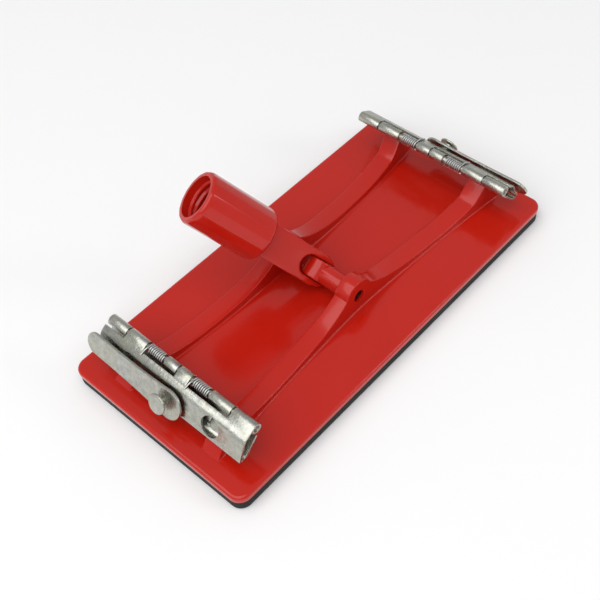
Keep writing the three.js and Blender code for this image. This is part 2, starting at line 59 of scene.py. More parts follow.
RIB_OFFSET, RIB_BOW = 21.2, 4.5
RIB_WIDTH, RIB_WIDENING, RIB_DRAFT, RIB_HEIGHT = 9.4, 25, 0.4, 2.3
RIB_FOOT_FILLET, RIB_TOP_ROUND = 0.8, 0.7
EAR_RADIUS, EAR_WIDTH, AXLE_Z = 8.5, 7.4, 18.0
EAR_ROUND = 0.93 * EAR_RADIUS  # where the ear's round top gives way to its flare
FLARE_HEIGHT, FLARE_LENGTH, FLARE_START = 9, 12.5, 8.3
SEAT_KINK, SEAT_KINK_HEIGHT, SEAT_RISE_LENGTH, SEAT_INNER_SLOPE = 80.5, 5.4, 26, 1.22
SEAT_LEAN, SEAT_UNDER_HINGE = math.radians(47.6), 2.68  # slope of the seat, its distance from the hinge
SEAT_FOOT = 98.6  # just past where the seat's slope meets the plate

AXLE_PIN, AXLE_PIN_HEAD, AXLE_PIN_START = 2.5, 3, 4
PIN_HEAD_INSIDE, PIN_HEAD_OUTSIDE = 22.6, 24.4  # places of the axle pins' heads along Y
HOLE_PLAY = 0.05
TRUNNION, TRUNNION_REACH = 4.9, 16.7
HUB, HALF_HUB = 6.75, 4.7
FORK_PIN, HALF_FORK, HALF_SLOT, SLOT_CENTRE = 2, 8, 5, 7
HALF_NECK, ARM_BALL = 4.5, 8.1
SWIVEL, TILT = 32.6, 30.0  # degrees the socket leans at rest
NECK_TOP, MOUTH, BARREL_RADIUS = 34, 70.4, 12.5
MOUTH_RADIUS, MOUTH_DEPTH, BORE_RADIUS, BORE_DEPTH = 9.9, 3.8, 8.9, 29
THREAD_PITCH, THREAD_DEPTH = 3.2, 0.9

HINGE_X, HINGE_Z = 83.8, 29.1
HINGE_PIN, HALF_HINGE_PIN = 1.5, 42.6
FACE_LEAN = math.radians(23)  # lean of the jaw's steep face's normal above level
FACE_REACH, JAW_DROP, RIVET_FROM_TIP = 6.3, 11.2, 3.0
ROOF_LEAN = math.radians(60)  # the same for its roof
LEVER_WIDE = (3.2, 0.6, 7.3)  # along, across and radius of the lever's wide end
LEVER_NARROW = (-43.3, 2.2, 5.3)
SPRING_STRETCHES = ((-19.6, -8.5), (7.4, 18.3))  # lowest and highest place of each spring along its pin
SPRING_WIRE, SPRING_RADIUS, SPRING_TURNS, SPRING_END_ROOM = 0.41, 2.12, 8, 1.1
SHEET_ROUND, RIVET_ROUND = 0.2, 0.3

CRISP = 35  # edges turned by more degrees than this stay crisp
ROUNDED_OVER = 40  # and those of a rounded copy turned by more than this are rounded
WELD, SLIVER = 2e-6, 1e-7  # metres: points this close are one, faces this thin are taken out


# ------------------------------------------------------------------ surfaces


def cells(rows, columns, wrap_rows, wrap_columns):
    """Corner numbers of each cell of a grid of points, in order round the cell."""
    r = np.arange(rows if wrap_rows else rows - 1)
    c = np.arange(columns if wrap_columns else columns - 1)
    r, c = np.meshgrid(r, c, indexing="ij")
    below, beside = (r + 1) % rows, (c + 1) % columns
    corners = [r * columns + c, below * columns + c, below * columns + beside, r * columns + beside]
    return np.stack(corners, -1).reshape(-1, 4)


def finish_mesh(mesh, sharp, closed):
    """Merges doubles, closes open ends, turns faces outwards, and keeps edges over sharp degrees crisp."""
    work = bmesh.new()
    work.from_mesh(mesh)
    bmesh.ops.remove_doubles(work, verts=work.verts, dist=WELD)
    bmesh.ops.dissolve_degenerate(work, edges=work.edges, dist=SLIVER)
    if closed:
        bmesh.ops.holes_fill(work, edges=[e for e in work.edges if e.is_boundary], sides=0)
        bmesh.ops.recalc_face_normals(work, faces=work.faces)
    work.to_mesh(mesh)
    work.free()
    mesh.shade_smooth()
    mesh.set_sharp_from_angle(angle=math.radians(sharp))


def surface(name, grids, sharp=CRISP, closed=True):
    """One object from grids of points in millimetres, each given as (points, wrap rows, wrap columns)."""
    points, faces, start = [], [], 0
    for grid, wrap_rows, wrap_columns in grids:
        rows, columns = grid.shape[:2]
        points.append(grid.reshape(-1, 3) * MM)
        faces.append(cells(rows, columns, wrap_rows, wrap_columns) + start)
        start += rows * columns
    mesh = bpy.data.meshes.new(name)
    mesh.from_pydata(np.concatenate(points).tolist(), [], np.concatenate(faces).tolist())
    finish_mesh(mesh, sharp, closed)
    made = bpy.data.objects.new(name, mesh)
    bpy.context.scene.collection.objects.link(made)
    return made


def rounded_copy(name, node, edge):
    """The CAD node's shape with its flat faces joined up and its crisp edges rounded, edge in millimetres."""
    mesh = frame["nodes"][node].data.copy()
    mesh.name = name
    mesh.materials.clear()
    work = bmesh.new()
    work.from_mesh(mesh)
    bmesh.ops.remove_doubles(work, verts=work.verts, dist=WELD)
    same_plane = math.radians(0.6)
    bmesh.ops.dissolve_limit(work, angle_limit=same_plane, verts=work.verts, edges=work.edges)
    work.to_mesh(mesh)
    work.free()
    mesh.shade_smooth()
    made = bpy.data.objects.new(name, mesh)
    bpy.context.scene.collection.objects.link(made)
    bevel = made.modifiers.new("rounded edges", "BEVEL")
    bevel.width = edge * MM
    bevel.segments = 2
    bevel.limit_method = "ANGLE"
    bevel.angle_limit = math.radians(ROUNDED_OVER)
    bevel.harden_normals = True
    return made


def parabola(start, corner, end, t):
    """The curve from start to end that is drawn towards the corner between them."""
    return (1 - t) ** 2 * start + 2 * t * (1 - t) * corner + t**2 * end


def eased(corners, radii, steps=6):
    """A polyline whose inner corners are rounded: each is a parabola that starts and ends its radius away."""
    corners = np.asarray(corners, float)
    t = np.linspace(0, 1, steps + 1)[:, None]
    out = [corners[:1]]
    for before, corner, after, radius in zip(corners, corners[1:], corners[2:], radii):
        start = corner + (before - corner) * min(0.5, radius / np.linalg.norm(before - corner))
        end = corner + (after - corner) * min(0.5, radius / np.linalg.norm(after - corner))
        out.append(parabola(start, corner, end, t))
    return np.concatenate([*out, corners[-1:]])


def turned(profile, place, segments=96):
    """A profile of [radius, height] swept round the height axis, then put in place."""
    profile = np.asarray(profile, float)
    angle = np.linspace(0, 2 * np.pi, segments, endpoint=False)[:, None]
    radius, height = profile[:, 0], profile[:, 1] + 0 * angle
    return place(np.stack([radius * np.cos(angle), radius * np.sin(angle), height], -1)), True, False


def rod(radius, half, ease):
    """Profile of a straight rod, to half its length either way, with eased end edges."""
    return eased([(0, -half), (radius, -half), (radius, half), (0, half)], [ease, ease])


def swept(path, radius, across, segments=14):
    """A round wire along a path: circles square to it, set out from the direction across it."""
    along = np.gradient(path, axis=0)
    along /= np.linalg.norm(along, axis=1, keepdims=True)
    first = np.cross(along, across)
    first /= np.linalg.norm(first, axis=1, keepdims=True)
    second = np.cross(along, first)
    angle = np.linspace(0, 2 * np.pi, segments, endpoint=False)[:, None]
    ring = np.cos(angle) * first[:, None] + np.sin(angle) * second[:, None]
    return path[:, None] + radius * ring, False, True


def rounded_outline(length, width, radius, steps=10):
    """Points round a rectangle with quarter-circle corners."""
    quarter = np.linspace(0, np.pi / 2, steps)
    corners = []
    for number, (side_x, side_y) in enumerate([(1, 1), (-1, 1), (-1, -1), (1, -1)]):
        angle = quarter + number * np.pi / 2
        x = side_x * (length / 2 - radius) + radius * np.cos(angle)
        y = side_y * (width / 2 - radius) + radius * np.sin(angle)
        corners.append(np.column_stack([x, y]))
    return np.concatenate(corners)


def slab(length, width, corner, rings):
    """Rings of the rounded outline, each drawn in by an inset and set at a height; the ends are filled."""
    loops = []
    for inset, height in rings:
        radius = max(corner - inset, 0.5)
        outline = rounded_outline(length - 2 * inset, width - 2 * inset, radius)
        loops.append(np.column_stack([outline, np.full(len(outline), height)]))
    return np.stack(loops), False, True


def framed(origin, x, y, z):
    """Takes points from a frame with these axes at this origin into the part's frame."""
    axes = np.array([x, y, z], float)
    return lambda points: points @ axes + np.array(origin, float)


def turned_frame(swivel, tilt):
    """The pole socket's axes: leaned by swivel towards -X, then tilted by tilt towards +Y."""
    s, c = math.sin(math.radians(swivel)), math.cos(math.radians(swivel))
    st, ct = math.sin(math.radians(tilt)), math.cos(math.radians(tilt))
    x = np.array([c, 0, s])
    z = np.array([-s * ct, st, c * ct])
    return x, np.cross(z, x), z


# ------------------------------------------------------------------ shader maths


class Wire:
    """One output of a shader node. Arithmetic on it adds Math nodes."""

    def __init__(self, finish, socket):
        self.finish, self.socket = finish, socket

    def maths(self, operation, first, second):
        return self.finish.node("Math", {"operation": operation}, {0: first, 1: second})

    def __add__(self, other):
        return self.maths("ADD", self, other)

    def __sub__(self, other):
        return self.maths("SUBTRACT", self, other)

    def __rsub__(self, other):
        return self.maths("SUBTRACT", other, self)

    def __mul__(self, other):
        return self.maths("MULTIPLY", self, other)

    __radd__, __rmul__ = __add__, __mul__


class Finish:
    """A material whose nodes are made with node(), starting from its Principled shader."""

    def __init__(self, name, **fixed):
        self.material = bpy.data.materials.new(name)
        self.material.use_nodes = True
        self.tree = self.material.node_tree
        self.shader = self.tree.nodes["Principled BSDF"]
        for socket, value in fixed.items():
            self.shader.inputs[socket.replace("_", " ")].default_value = value
        self.place = self.node("TexCoord", output="Object")

    def node(self, kind, settings=None, inputs=None, output=0):
        """Adds a node: its settings are set first, then the values or links of its sockets."""
        made = self.tree.nodes.new("ShaderNode" + kind)
        for key, value in (settings or {}).items():
            if key == "stops":
                self.set_stops(made.color_ramp, value)
            else:
                setattr(made, key, value)
        for key, value in (inputs or {}).items():
            self.feed(made.inputs[key], value)
        return Wire(self, made.outputs[output])

    def set_stops(self, ramp, stops):
        for element, (position, colour) in zip(ramp.elements, stops[:2]):
            element.position, element.color = position, colour
        for position, colour in stops[2:]:
            ramp.elements.new(position).color = colour

    def feed(self, socket, value):
        if isinstance(value, Wire):
            self.tree.links.new(value.socket, socket)
        else:
            socket.default_value = value

    def noise(self, scale, detail=3.0, roughness=0.5, place=None):
        sockets = {"Vector": place or self.place, "Scale": scale, "Detail": detail, "Roughness": roughness}
        return self.node("TexNoise", None, sockets, "Fac")

    def stretched(self, x, y, z):
        return self.node("Mapping", None, {"Vector": self.place, "Scale": (x, y, z)})

    def ramp(self, value, low, high):
        """0 below low, 1 above high."""
        settings = {"stops": [(low, (0, 0, 0, 1)), (high, (1, 1, 1, 1))]}
        return self.node("ValToRGB", settings, {"Fac": value})

    def blend(self, share, first, second):
        settings = {"data_type": "RGBA"}
        return self.node("Mix", settings, {0: share, 6: first, 7: second}, 2)

    def bump(self, height, strength, distance, under=None):
        sockets = {"Height": height, "Strength": strength, "Distance": distance}
        if under:
            sockets["Normal"] = under
        return self.node("Bump", None, sockets)

    def use(self, **sockets):
        for socket, value in sockets.items():
            self.feed(self.shader.inputs[socket.replace("_", " ")], value)
        return self.material


def red_enamel():
    """Glossy sprayed enamel: faint orange peel, small colour drift, rare dull dust marks."""
    f = Finish("red_enamel", Coat_Roughness=0.04, IOR=1.4)
    drift = f.noise(18, 2)
    peel = f.noise(420, 2)
    waves = f.noise(60, 2)
    dust = f.ramp(f.noise(900, 4, 0.7), 0.68, 0.78)
    scuff = f.ramp(f.noise(150, 6, 0.75, f.stretched(1, 4, 2)), 0.62, 0.8)
    colour = f.blend(drift, (0.45, 0.009, 0.0035, 1), (0.52, 0.013, 0.005, 1))
    colour = f.blend(dust * 0.2, colour, (0.64, 0.06, 0.04, 1))
    rough = 0.15 + drift * 0.05 + scuff * 0.14 + dust * 0.2
    normal = f.bump(waves, 0.06, 0.002, f.bump(peel, 0.05, 0.0004))
    return f.use(Base_Color=colour, Roughness=rough, Coat_Weight=0.16 - scuff * 0.1, Normal=normal)


def zinc_plate():
    """Bright zinc plate: cloudy, faintly yellow-green patches, fine rolling lines and a few scratches."""
    f = Finish("zinc_plate", Metallic=1.0)
    cloud = f.noise(300, 6, 0.7)
    tint = f.ramp(f.noise(110, 4, 0.6), 0.42, 0.64)
    stain = f.ramp(f.noise(380, 6, 0.75), 0.54, 0.7)
    lines = f.noise(900, 2, 0.5, f.stretched(1, 0.05, 1))
    scratch = f.ramp(f.noise(260, 5, 0.8, f.stretched(1, 0.25, 1)), 0.6, 0.72)
    cloud = f.ramp(cloud, 0.34, 0.66)
    colour = f.blend(cloud, (0.36, 0.367, 0.338, 1), (0.52, 0.528, 0.488, 1))
    colour = f.blend(tint * 0.5, colour, (0.50, 0.49, 0.38, 1))
    colour = f.blend(stain * 0.4, colour, (0.22, 0.22, 0.18, 1))
    rough = 0.3 - cloud * 0.1 + lines * 0.05 - scratch * 0.08 + stain * 0.12
    normal = f.bump(lines, 0.08, 0.0003, f.bump(cloud, 0.2, 0.0006))
    return f.use(Base_Color=colour, Roughness=rough, Normal=normal)


def spring_wire():
    """Drawn spring wire: bright, with fine darker streaks."""
    f = Finish("spring_wire", Metallic=1.0)
    streaks = f.noise(700, 3)
    colour = f.blend(streaks, (0.38, 0.38, 0.37, 1), (0.66, 0.66, 0.65, 1))
    return f.use(Base_Color=colour, Roughness=0.22 + streaks * 0.12, Normal=f.bump(streaks, 0.05, 0.0001))


def black_steel():
    """Blackened pin steel, slightly worn."""
    f = Finish("black_steel", Metallic=0.9)
    worn = f.ramp(f.noise(500, 4, 0.7), 0.55, 0.75)
    colour = f.blend(worn, (0.012, 0.012, 0.013, 1), (0.09, 0.09, 0.09, 1))
    return f.use(Base_Color=colour, Roughness=0.42 - worn * 0.1, Normal=f.bump(worn, 0.1, 0.0002))


def black_rubber():
    """Closed-cell rubber: a fine pitted grain and a little grey dust."""
    f = Finish("black_rubber", IOR=1.45)
    pits = f.node("TexVoronoi", None, {"Vector": f.place, "Scale": 1100.0}, "Distance")
    dust = f.ramp(f.noise(120, 5, 0.7), 0.5, 0.8)
    colour = f.blend(dust, (0.010, 0.010, 0.010, 1), (0.035, 0.034, 0.033, 1))
    normal = f.bump(pits, 0.5, 0.0003, f.bump(f.noise(400, 3), 0.3, 0.0004))
    return f.use(Base_Color=colour, Roughness=0.78 + dust * 0.12, Normal=normal)


ENAMEL, ZINC, WIRE, BLACK, RUBBER = red_enamel(), zinc_plate(), spring_wire(), black_steel(), black_rubber()


def place_piece(piece, body, material, *nodes):
    """Finishes a piece: its material, the body it moves with and the CAD nodes it stands for."""
    piece.data.materials.append(material)
    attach(piece, body)
    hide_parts(*nodes)
    return piece


# ------------------------------------------------------------------ plate and pad


def plate_slab():
    """Flat cast plate: its side drafted a little, its top edge a quarter round."""
    turn = np.linspace(0, np.pi / 2, 9)
    edge = [(PLATE_EDGE * (1 - np.cos(t)), PLATE_TOP - PLATE_EDGE * (1 - np.sin(t))) for t in turn]
    rings = [(9, PAD_TOP), (0.5, PAD_TOP), (0.15, PAD_TOP + 0.35), *edge, (4, PLATE_TOP), (12, PLATE_TOP)]
    grid = slab(PLATE_LENGTH, PLATE_WIDTH, PLATE_CORNER, rings)
    return surface("plate_slab", [grid])


def smooth_larger(a, b, blend):
    """The larger of two heights, eased where they cross."""
    return 0.5 * (a + b + np.sqrt((a - b) ** 2 + blend**2))


def rib_height(x):
    """Over the plate: a circle over the axle, an exponential hollow down to a low back that rises with the
    square of the way to the clamp seat, then straight up to the seat's crest and down its outer slope."""
    x = np.abs(x)
    ear = AXLE_Z - PLATE_TOP + np.sqrt(np.clip(EAR_RADIUS**2 - x**2, 0, None))
    climb = np.clip((x - SEAT_KINK) / SEAT_RISE_LENGTH + 1, 0, 1.2) ** 2
    flare = FLARE_HEIGHT * np.exp(-(x - EAR_ROUND) / FLARE_LENGTH)
    back = RIB_HEIGHT + flare + (SEAT_KINK_HEIGHT - RIB_HEIGHT) * climb
    rise = SEAT_KINK_HEIGHT + SEAT_INNER_SLOPE * (x - SEAT_KINK)
    under = SEAT_UNDER_HINGE + (x - HINGE_X) * math.sin(SEAT_LEAN)
    fall = HINGE_Z - PLATE_TOP - under / math.cos(SEAT_LEAN)
    low = smooth_larger(back, rise, 1.4)
    low = -smooth_larger(-low, -fall, 0.4)
    return np.where(x < EAR_ROUND, ear, low)


def rib(side):
    """A cross-section with a filleted foot, drafted sides and rounded top edges, carried along the bow."""
    near = EAR_ROUND * np.sin(np.linspace(0, np.pi / 2, 16))
    half = np.concatenate([near, np.linspace(FLARE_START, SEAT_FOOT, 150)])
    x = np.concatenate([-half[:0:-1], half])[:, None]
    height = np.maximum(rib_height(x), -0.8)
    tall = np.clip(height, 0.01, None)
    foot = np.minimum(RIB_FOOT_FILLET, 0.4 * tall)
    edge = np.minimum(RIB_TOP_ROUND, 0.3 * tall)
    narrowing = np.exp(-((x / RIB_WIDENING) ** 2))
    half_top = (RIB_WIDTH + (EAR_WIDTH - RIB_WIDTH) * narrowing) / 2
    half_base = half_top + RIB_DRAFT
    draft = RIB_DRAFT / tall
    t = np.linspace(0, 1, 9)
    across_foot = parabola(half_base + foot, half_base, half_base - draft * foot, t)
    up_foot = t**2 * foot
    across_edge = parabola(half_top + draft * edge, half_top, half_top - edge, t)
    up_edge = height - (1 - t) ** 2 * edge
    top = np.linspace(0.9, 0, 4)
    across_top = top * (half_top - edge)
    up_top = height + 0.12 * (1 - top**2) * (tall > 0.5)
    across = np.concatenate([half_base + foot, across_foot, across_edge, across_top], 1)
    up = np.concatenate([0 * x - 1, up_foot * (height > 0) + np.minimum(height, 0), up_edge, up_top], 1)
    across = np.concatenate([across, -across[:, -2::-1]], 1)
    up = np.concatenate([up, up[:, -2::-1]], 1)
    bow = RIB_OFFSET + RIB_BOW * (x / HINGE_X) ** 2
    points = np.stack([x + 0 * across, side * (bow + across), PLATE_TOP + up], -1)
    name = "plate_rib_" + ("back" if side > 0 else "front")
    made = surface(name, [(points, False, True)])
    inside, outside = (0, side * RIB_OFFSET / 2, AXLE_Z), (0, side * 2 * RIB_OFFSET, AXLE_Z)
    drill(made, AXLE_PIN + HOLE_PLAY, inside, outside)
    ledge = (0, side * (PIN_HEAD_INSIDE - HOLE_PLAY), AXLE_Z)
    drill(made, AXLE_PIN_HEAD + HOLE_PLAY, ledge, outside)
    return made


def drill(piece, radius, start, end):
    """Cuts a round hole into a closed piece, from one point to another."""
    start, end = np.array(start, float), np.array(end, float)
    z = (end - start) / np.linalg.norm(end - start)
    x = np.cross(z, [1, 0, 0])
    x /= np.linalg.norm(x)
    length = np.linalg.norm(end - start)
    profile = [(0, 0), (radius, 0), (radius, length), (0, length)]
    tool = surface("drill", [turned(profile, framed(start, x, np.cross(z, x), z), 48)])
    cut = piece.modifiers.new("hole", "BOOLEAN")
    cut.operation, cut.solver, cut.object = "DIFFERENCE", "EXACT", tool
    bpy.context.view_layer.update()
    graph = bpy.context.evaluated_depsgraph_get()
    mesh = bpy.data.meshes.new_from_object(piece.evaluated_get(graph))
    piece.modifiers.clear()
    piece.data = mesh
    mesh.shade_smooth()
    mesh.set_sharp_from_angle(angle=math.radians(CRISP))
    bpy.data.objects.remove(tool)


def backing_pad():
    """Rubber pad with slightly bulging sides and softened edges."""
    turn = np.linspace(0, np.pi, 11)
    side = [(0.9 - 0.5 * np.sin(t) ** 0.5, 0.35 + 2.4 * (1 - np.cos(t))) for t in turn]
    rings = [(9, 0), (1.8, 0), *side, (1.8, PAD_TOP - 0.02), (9, PAD_TOP - 0.02)]
    return surface("rubber_pad", [slab(PLATE_LENGTH, PLATE_WIDTH, PLATE_CORNER, rings)], 60)


# ------------------------------------------------------------------ universal joint

SOCKET_X, SOCKET_Y, SOCKET_Z = turned_frame(SWIVEL, TILT)
in_socket = framed((0, 0, AXLE_Z), SOCKET_X, SOCKET_Y, SOCKET_Z)
BLOCK_Z = np.cross(SOCKET_X, [0, 1, 0])  # the block shares the socket's X


def axle_pin(side):
    """A stub pin with a slightly domed head, sunk in its ear."""
    place = framed((0, 0, AXLE_Z), (1, 0, 0), (0, 0, -side), (0, side, 0))
    start, low, high = AXLE_PIN_START, PIN_HEAD_INSIDE, PIN_HEAD_OUTSIDE
    shank = [(0, start), (AXLE_PIN, start), (AXLE_PIN, low)]
    head = [(AXLE_PIN_HEAD, low), (AXLE_PIN_HEAD, high - 0.3), (0, high)]
    profile = eased(shank + head, [0.3, 0.1, 0.1, 0.5])
    return surface("axle_pin_end_" + ("back" if side > 0 else "front"), [turned(profile, place, 48)])


def swivel_block():
    """Trunnions along Y and a hub along the fork pin, each turned with eased ends."""
    trunnion = framed((0, 0, AXLE_Z), SOCKET_X, -BLOCK_Z, (0, 1, 0))
    hub = framed((0, 0, AXLE_Z), (0, 1, 0), BLOCK_Z, SOCKET_X)
    half = eased([(0, TRUNNION_REACH), (TRUNNION, TRUNNION_REACH), (TRUNNION, 0)], [0.6])
    whole = np.concatenate([half, half[::-1] * (1, -1)])
    grids = [turned(whole[::-1], trunnion, 64), turned(rod(HUB, HALF_HUB, 0.9), hub, 80)]
    return surface("swivel_block_cast", grids)


def pole_barrel():
    """Turned barrel with faint moulded flats, a rounded rim, a plain counterbore, a ledge and a thread.
    The radius at each height and angle is the profile's, less the flats outside, plus the thread inside."""
    side = [(0, NECK_TOP), (BARREL_RADIUS, NECK_TOP), (BARREL_RADIUS, MOUTH)]
    outside = eased([*side, (MOUTH_RADIUS, MOUTH)], [2.4, 2.5], 8)
    ledge, thread_start, bottom = MOUTH - MOUTH_DEPTH, MOUTH - MOUTH_DEPTH - 1.2, MOUTH - BORE_DEPTH
    steps = [(MOUTH_RADIUS, MOUTH), (MOUTH_RADIUS, ledge), (BORE_RADIUS, ledge - 0.3)]
    mouth = eased([*steps, (BORE_RADIUS, thread_start)], [0.5, 0.3], 5)
    bore = np.column_stack([np.full(160, BORE_RADIUS), np.linspace(thread_start, bottom + 0.2, 160)])
    floor = [(BORE_RADIUS - 0.5, bottom), (0, bottom)]
    outside[-5:, 0] += np.linspace(0, 0.3, 5)
    profile = np.concatenate([outside, mouth, bore, floor])
    grid, wrap, _ = turned(profile, lambda points: points, 144)
    angle = np.arctan2(grid[..., 1], grid[..., 0])
    is_outside = np.arange(grid.shape[1]) < len(outside)
    is_bore = np.zeros(grid.shape[1], bool)
    is_bore[len(outside) + len(mouth) : -2] = True
    flat = np.mod(angle, np.pi / 8) - np.pi / 16
    flats = 1 - 0.6 * (1 - np.cos(np.pi / 16) / np.cos(flat))
    turn = np.mod((MOUTH - grid[..., 2]) / THREAD_PITCH + angle / (2 * np.pi), 1)
    groove = np.clip(1.6 * np.abs(2 * turn - 1) - 0.3, 0, 1) * THREAD_DEPTH
    radius = np.hypot(grid[..., 0], grid[..., 1])
    flattened = is_outside & (radius > BARREL_RADIUS - 1.5)
    new = radius * np.where(flattened, flats, 1) + np.where(is_bore, groove - 0.25, 0)
    grid[..., :2] *= (new / np.maximum(radius, 1e-9))[..., None]
    return in_socket(grid), wrap, False


def spread(length, radius, middle):
    """Places along a face of each section: close together over its rounded ends, even between them."""
    near = radius * np.array([0, 0.2, 0.45, 0.72])
    even = radius + (length - 2 * radius) * np.linspace(0, 1, middle)
    return np.concatenate([near, even, length - near[:, :0:-1]], 1)


def fork():
    """The neck and its two arms. Sections run up one arm, fan round the slot's closed end and run down the
    other. Each is a rectangle with round corners, from the slot's wall to the neck's side and as thick as
    the neck. Below the pin the arms lie inside a sphere about it, which opens into a cone above."""
    top = NECK_TOP + 3
    arm = -6.25 * np.cos(np.linspace(0, np.pi / 2, 26))
    up = np.concatenate([arm, np.linspace(0.4, SLOT_CENTRE, 14)])
    envelope = np.where(up < 0, np.sqrt(ARM_BALL**2 - np.minimum(up, 0) ** 2), ARM_BALL + up / 2)
    arm_in = np.column_stack([np.full(len(up), HALF_SLOT), up])
    arm_out = np.column_stack([np.minimum(HALF_FORK, envelope), up])
    turn = np.linspace(0, np.pi, 61)[1:-1]
    fan_in = np.column_stack([HALF_SLOT * np.cos(turn), SLOT_CENTRE + HALF_SLOT * np.sin(turn)])
    to_side = HALF_FORK / np.maximum(np.abs(np.cos(turn)), 1e-9)
    reach = np.minimum(to_side, (top - SLOT_CENTRE) / np.maximum(np.sin(turn), 1e-9))
    fan_out = np.column_stack([reach * np.cos(turn), SLOT_CENTRE + reach * np.sin(turn)])
    flip = np.array([-1, 1])
    inner = np.concatenate([arm_in, fan_in, arm_in[::-1] * flip])
    outer = np.concatenate([arm_out, fan_out, arm_out[::-1] * flip])
    limit = np.concatenate([envelope, np.full(len(turn), 2 * ARM_BALL), envelope[::-1]])[:, None]
    depth = np.minimum(HALF_NECK, np.sqrt(limit**2 - HALF_SLOT**2))
    span = np.linalg.norm(outer - inner, axis=1)[:, None]
    radius = 0.8 * np.minimum(np.minimum(depth / 1.6, span / 2), 1)
    wide, long = spread(2 * depth, radius, 9), spread(span, radius, 5)
    along = np.concatenate([0 * wide, long, span + 0 * wide, long[:, ::-1]], 1)
    across = np.concatenate([wide - depth, depth + 0 * long, depth - wide, 0 * long - depth], 1)
    core_along = np.clip(along, radius, span - radius)
    core_across = np.clip(across, radius - depth, depth - radius)
    share = radius / np.maximum(np.hypot(along - core_along, across - core_across), 1e-9)
    along = core_along + (along - core_along) * share
    across = core_across + (across - core_across) * share
    flat = inner[:, None] + ((outer - inner) / span)[:, None] * along[..., None]
    widest = np.sqrt(np.maximum(limit**2 - across**2, HALF_SLOT**2))
    kept_in = np.clip(flat[..., 0], -widest, widest)
    x = np.where(flat[..., 1] < SLOT_CENTRE, kept_in, flat[..., 0])
    return in_socket(np.stack([x, across, flat[..., 1]], -1)), False, True


def fork_pin():
    """Pin with eased ends, through both arms and the hub."""
    place = framed((0, 0, AXLE_Z), (0, 1, 0), BLOCK_Z, SOCKET_X)
    return surface("fork_pin_bar", [turned(rod(FORK_PIN, HALF_FORK, 0.3), place, 40)])


# ------------------------------------------------------------------ clamps


def in_clamp(end):
    """Clamp frames: origin on the hinge axis, X out over the plate's end."""
    return framed((end * HINGE_X, 0, HINGE_Z), (end, 0, 0), (0, end, 0), (0, 0, 1))


def on_jaw(end):
    """Flat frame on the jaw's steep face at the lever rivet: X along the clamp, Z out of the face."""
    out = np.array([math.cos(FACE_LEAN), 0, math.sin(FACE_LEAN)])
    along = np.array([0, 1, 0])
    across = np.cross(out, along)
    down = (JAW_DROP + FACE_REACH * out[2]) / out[0] - RIVET_FROM_TIP
    origin = FACE_REACH * out + down * np.array([out[2], 0, -out[0]])
    clamp = in_clamp(end)
    return lambda points: clamp(points @ np.array([along, across, out]) + origin)


def lever(end, letter):
    """A dished plate: its outline is a spine point plus an offset, round at the narrow and wide ends, and
    between them a half-width that grows with the cube of the way along. Rings shrink the offsets."""
    (wide_x, wide_y, wide), (narrow_x, narrow_y, narrow) = LEVER_WIDE, LEVER_NARROW
    apart = math.hypot(wide_x - narrow_x, wide_y - narrow_y)
    lean = math.atan(3 * (wide - narrow) / apart)
    share = np.linspace(1, 0, 22)[1:-1]
    side_x = share * (apart - wide * math.sin(lean))
    side = narrow + (wide * math.cos(lean) - narrow) * share**3
    far = np.linspace(-np.pi / 2 - lean, np.pi / 2 + lean, 44)
    near = np.linspace(np.pi / 2, 1.5 * np.pi, 32)
    spine = np.concatenate([apart + 0 * far, side_x, 0 * near, side_x[::-1]])
    offset_x = np.concatenate([wide * np.cos(far), 0 * side, narrow * np.cos(near), 0 * side])
    offset_y = np.concatenate([wide * np.sin(far), side, narrow * np.sin(near), -side[::-1]])
    rings = [(0.04, 1.25), (0.5, 1.25), (0.9, 1.22), (0.97, 1.28), (1, 1.5), (1, 2.2)]
    rings += [(0.985, 2.42), (0.95, 2.52), (0.85, 2.5), (0.6, 2.36), (0.3, 2.3), (0.04, 2.3)]
    shrink, height = np.array(rings).T[:, :, None]
    x = spine + shrink * offset_x
    y = shrink * offset_y
    turn = math.atan2(wide_y - narrow_y, wide_x - narrow_x)
    flat_x = narrow_x + x * math.cos(turn) - y * math.sin(turn)
    flat_y = narrow_y + x * math.sin(turn) + y * math.cos(turn)
    flat = np.stack([flat_x, flat_y, height + 0 * x], -1)
    collar = eased([(0, 0.2), (3.4, 0.2), (3.4, 1.6), (0, 1.6)], [0.3, 0.3])
    place = on_jaw(end)
    grids = [(place(flat), False, True), turned(collar, place, 48)]
    return surface("lever_plate_" + letter, grids)


def lever_rivet(end, letter):
    """Shank with a thin domed head, standing off the lever."""
    shank = [(0, -1.5), (1.75, -1.5), (1.75, 3), (2.1, 5.0)]
    head = [(4.75, 5.1), (4.75, 6.0), (3.5, 6.2), (0, 6.2)]
    profile = eased(shank + head, [0.3, 0.6, 0.3, 0.3, 0.4, 0.8])
    return surface("rivet_button_" + letter, [turned(profile, on_jaw(end), 64)])


def on_roof(distance, along):
    """Place at a distance from the hinge along the roof's normal, then down the roof."""
    s, c = math.sin(ROOF_LEAN), math.cos(ROOF_LEAN)
    return distance * c + along * s, distance * s - along * c


